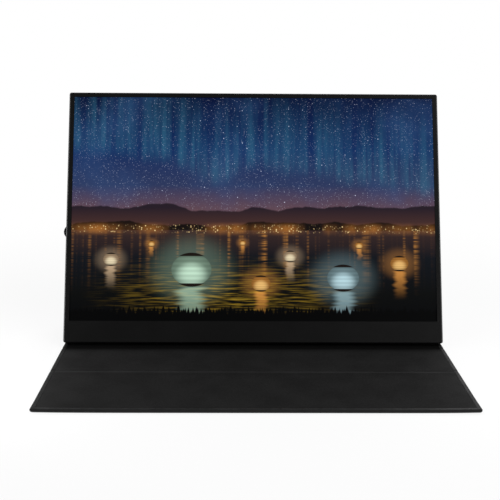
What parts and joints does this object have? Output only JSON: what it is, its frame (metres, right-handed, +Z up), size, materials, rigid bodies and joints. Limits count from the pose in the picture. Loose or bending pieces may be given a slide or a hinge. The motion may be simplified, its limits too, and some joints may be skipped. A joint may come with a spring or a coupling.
{
  "type": "portable monitor with folding cover",
  "caption": "Slim portable monitor leaning in a folding leather-look cover, with hinged panels, a strut behind, a side dial and a power key.",
  "frame": {"origin": "on the table, under the middle of the line on which the monitor stands", "axes": "+X right as seen from the front, +Y towards the back, +Z up"},
  "size_m": [0.3572, 0.2558, 0.2305],
  "materials": {
    "case_back": "black anodised, fine matt grain",
    "bezel_black": "fine moulded texture",
    "screw_black": "black",
    "foam_black": "foam and tape",
    "screen_glass": "matt glass, lit picture",
    "film_white": "white film",
    "tray_metal": "stamped sheet",
    "board_green": "solder mask",
    "flex_amber": "flexible circuit",
    "ribbon_white": "flat cable",
    "chip_black": "moulded package",
    "shield_steel": "tinned sheet",
    "socket_steel": "formed steel shell",
    "jack_black": "moulded",
    "lead_black": "insulated wire",
    "magnet_steel": "nickel plated",
    "key_black": "ribbed, matt",
    "cover_skin": "fine pebble grain",
    "cover_board": "fibre board",
    "cover_lining": "soft napped lining"
  },
  "bodies": {
    "base": {"rear_skin": "cover_skin", "rear_board": "cover_board", "rear_lining": "cover_lining", "spine_skin": "cover_skin", "spine_board": "cover_board", "spine_lining": "cover_lining"},
    "strut": {"strut_skin": "cover_skin", "strut_board": "cover_board", "strut_lining": "cover_lining"},
    "monitor": {"rear_cover": "case_back", "front_bezel": "bezel_black", "case_screws": "screw_black", "panel_tape": "foam_black", "lcd_cell": "screen_glass", "optical_films": "film_white", "light_guide": "film_white", "reflector_sheet": "film_white", "panel_tray": "tray_metal", "led_bar": "film_white", "panel_driver_board": "board_green", "panel_flexes": "flex_amber", "panel_cable": "ribbon_white", "main_board": "board_green", "board_chips": "chip_black", "board_shield": "shield_steel", "thermal_pad": "foam_black", "board_screws": "shield_steel", "usb_c_sockets": "socket_steel", "mini_hdmi_socket": "socket_steel", "audio_jack": "jack_black", "key_board": "board_green", "dial_switch": "chip_black", "power_switch": "chip_black", "key_cable": "ribbon_white", "speakers": "chip_black", "speaker_foam": "foam_black", "speaker_leads": "lead_black", "case_magnets": "magnet_steel", "back_skin": "cover_skin", "back_board": "cover_board", "back_lining": "cover_lining", "cover_magnets": "magnet_steel"},
    "flap_middle": {"middle_skin": "cover_skin", "middle_board": "cover_board", "middle_lining": "cover_lining"},
    "flap_front": {"front_skin": "cover_skin", "front_board": "cover_board", "front_lining": "cover_lining"},
    "dial_carriage": {"dial_carriage": "key_black"},
    "jog_dial": {"jog_dial": "key_black"},
    "power_button": {"power_button": "key_black"}
  },
  "joints": [
    {"name": "stand_fold", "type": "hinge", "parent": "base", "child": "strut", "pos_m": [0, 0.08924, 0.0007], "axis": [-1, 0, 0], "range_deg": [0, 110.63]},
    {"name": "back_fold", "type": "hinge", "parent": "strut", "child": "monitor", "pos_m": [0, 0.04483, 0.11272], "axis": [1, 0, 0], "range_deg": [0, 42.13]},
    {"name": "flap_fold", "type": "hinge", "parent": "base", "child": "flap_middle", "pos_m": [0, -0.01369, 0.0007], "axis": [-1, 0, 0], "range_deg": [0, 110]},
    {"name": "front_fold", "type": "hinge", "parent": "flap_middle", "child": "flap_front", "pos_m": [0, -0.07529, 0.0007], "axis": [1, 0, 0], "range_deg": [-110, 0]},
    {"name": "dial_press", "type": "slide", "parent": "monitor", "child": "dial_carriage", "axis": [1, 0, 0], "range_m": [0, 0.0006], "stiffness_N_per_m": 1500},
    {"name": "dial_turn", "type": "hinge", "parent": "dial_carriage", "child": "jog_dial", "pos_m": [-0.17305, 0.03382, 0.10242], "axis": [0, -0.9367, 0.3502], "range_deg": [-15, 15], "stiffness_Nm_per_rad": 0.004},
    {"name": "power_press", "type": "slide", "parent": "monitor", "child": "power_button", "axis": [1, 0, 0], "range_m": [0, 0.0004], "stiffness_N_per_m": 2000}
  ],
  "couplings": [
    {"joint": "back_fold", "follows": "stand_fold", "ratio": 0.3774}
  ]
}
